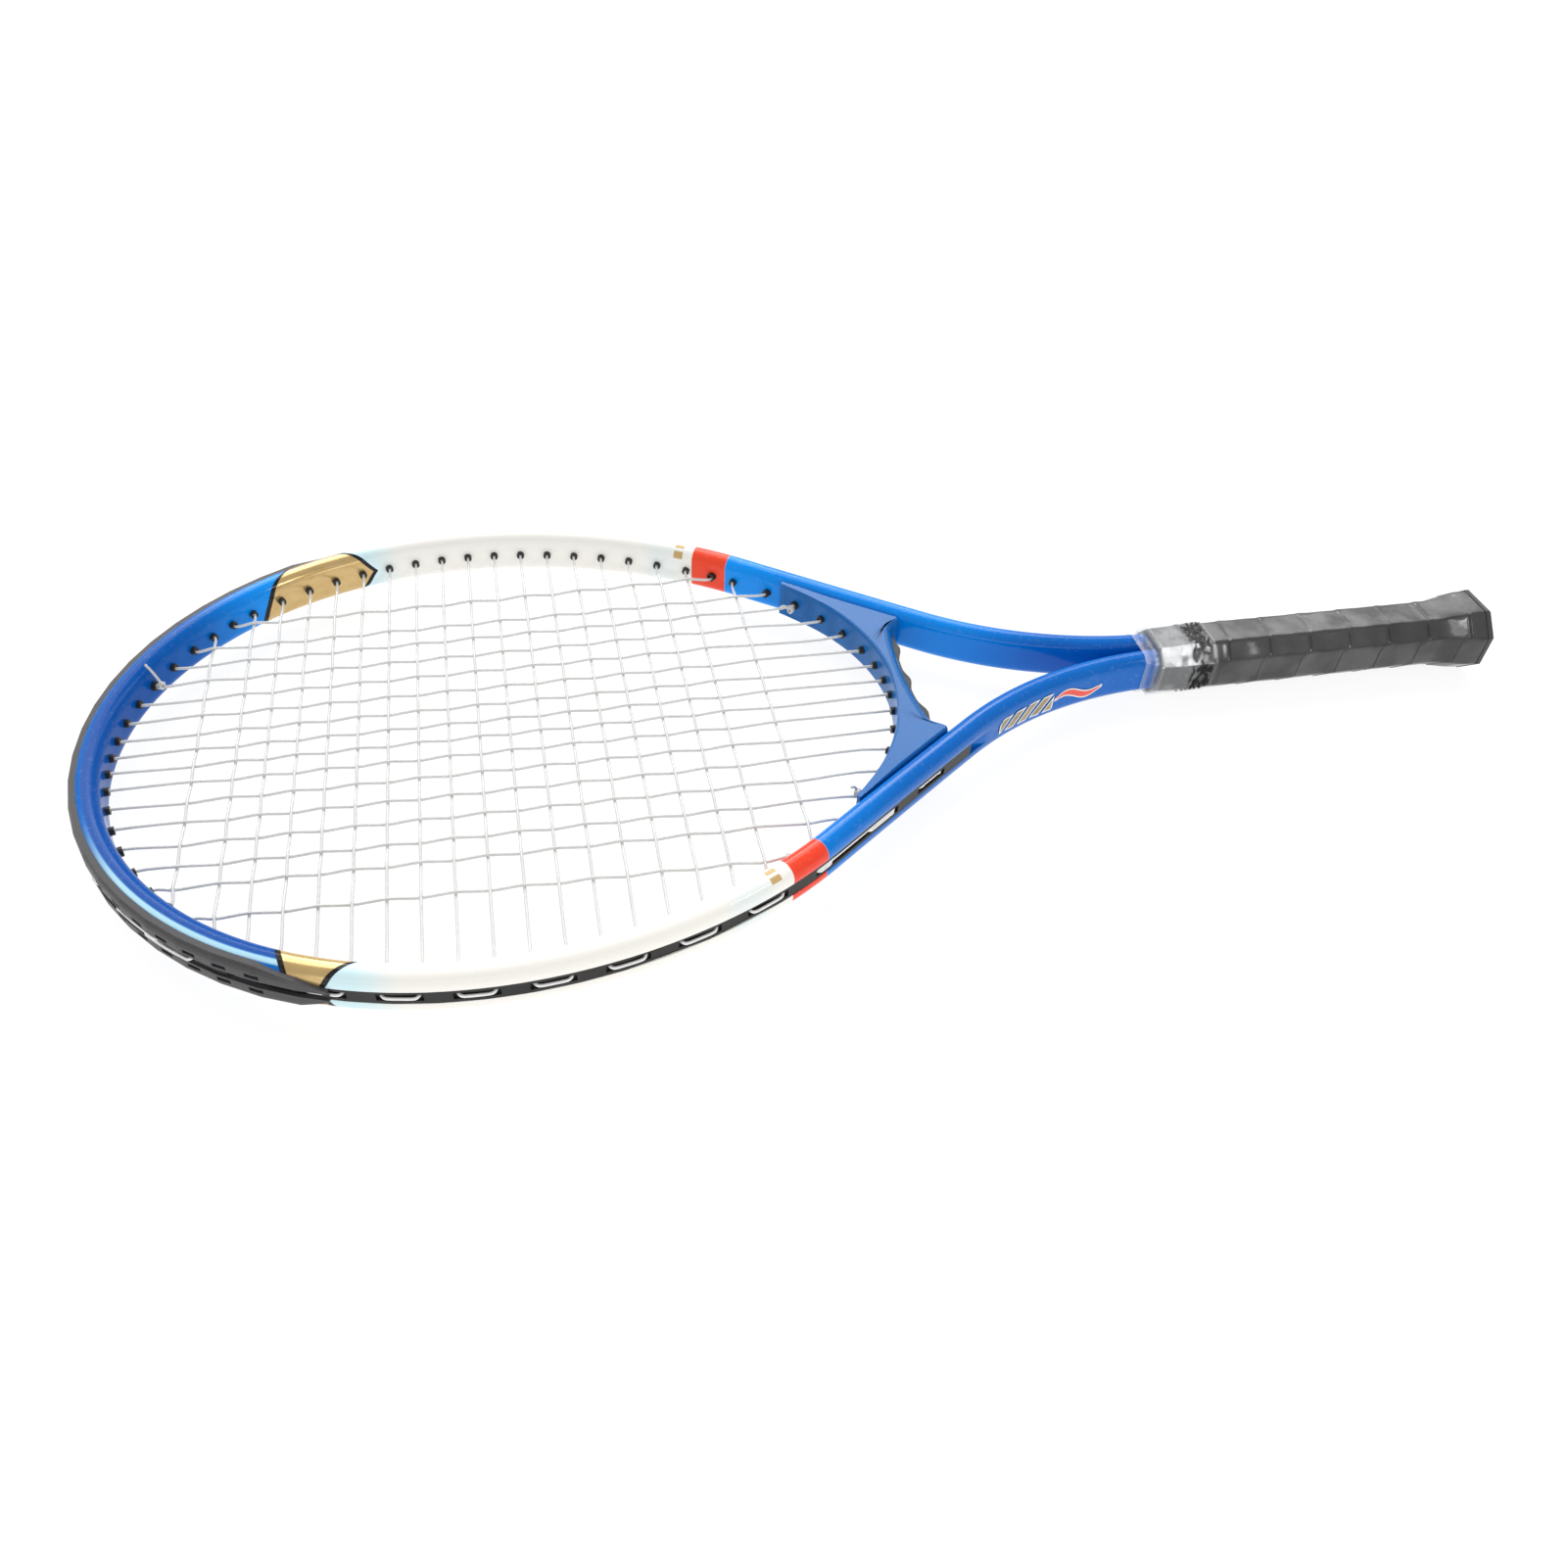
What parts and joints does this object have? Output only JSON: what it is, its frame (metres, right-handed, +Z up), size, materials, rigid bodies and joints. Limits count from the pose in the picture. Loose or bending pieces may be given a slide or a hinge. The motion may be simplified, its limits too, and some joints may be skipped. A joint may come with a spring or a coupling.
{
  "type": "tennis racket",
  "caption": "Oversize tennis racket: bent oval tube head with woven strings, open throat with moulded bridge, bumper guard and taped octagonal handle.",
  "frame": {"origin": "middle of the racket's length and width, level with the lowest face (the butt's lower flat)", "axes": "+X from the head tip to the butt, +Y across the head, +Z up out of the string bed"},
  "size_m": [0.6847, 0.3018, 0.0365],
  "materials": {
    "lacquered_tube": "gloss lacquer: cobalt blue, ivory sections, gold chevrons and orange-red bands",
    "blue_moulding": "satin blue moulding",
    "grey_guard": "satin dark grey moulding",
    "black_strip": "satin black nylon",
    "white_string": "smooth white synthetic gut",
    "handle_foam": "rigid foam, hidden under the tape",
    "grey_collar": "smooth flat grey rubber band",
    "black_cap": "black moulded cap",
    "steel_tack": "bright steel",
    "charcoal_tape": "charcoal synthetic leather, fine grain",
    "clear_film": "thin clear plastic film",
    "foil_decal": "pale gold foil with no lettering"
  },
  "bodies": {
    "root": {"frame_tube": "lacquered_tube", "throat_bridge": "blue_moulding", "bumper_guard": "grey_guard", "head_grommet_strip": "black_strip", "side_grommet_strip_left": "black_strip", "side_grommet_strip_right": "black_strip", "bridge_grommet_strip": "black_strip", "main_string": "white_string", "cross_string": "white_string", "pallet_upper": "handle_foam", "pallet_lower": "handle_foam", "handle_collar": "grey_collar", "butt_cap": "black_cap", "butt_cap_tacks": "steel_tack", "grip_tape": "charcoal_tape", "film_sleeve": "clear_film", "shaft_decal": "foil_decal"}
  },
  "joints": []
}
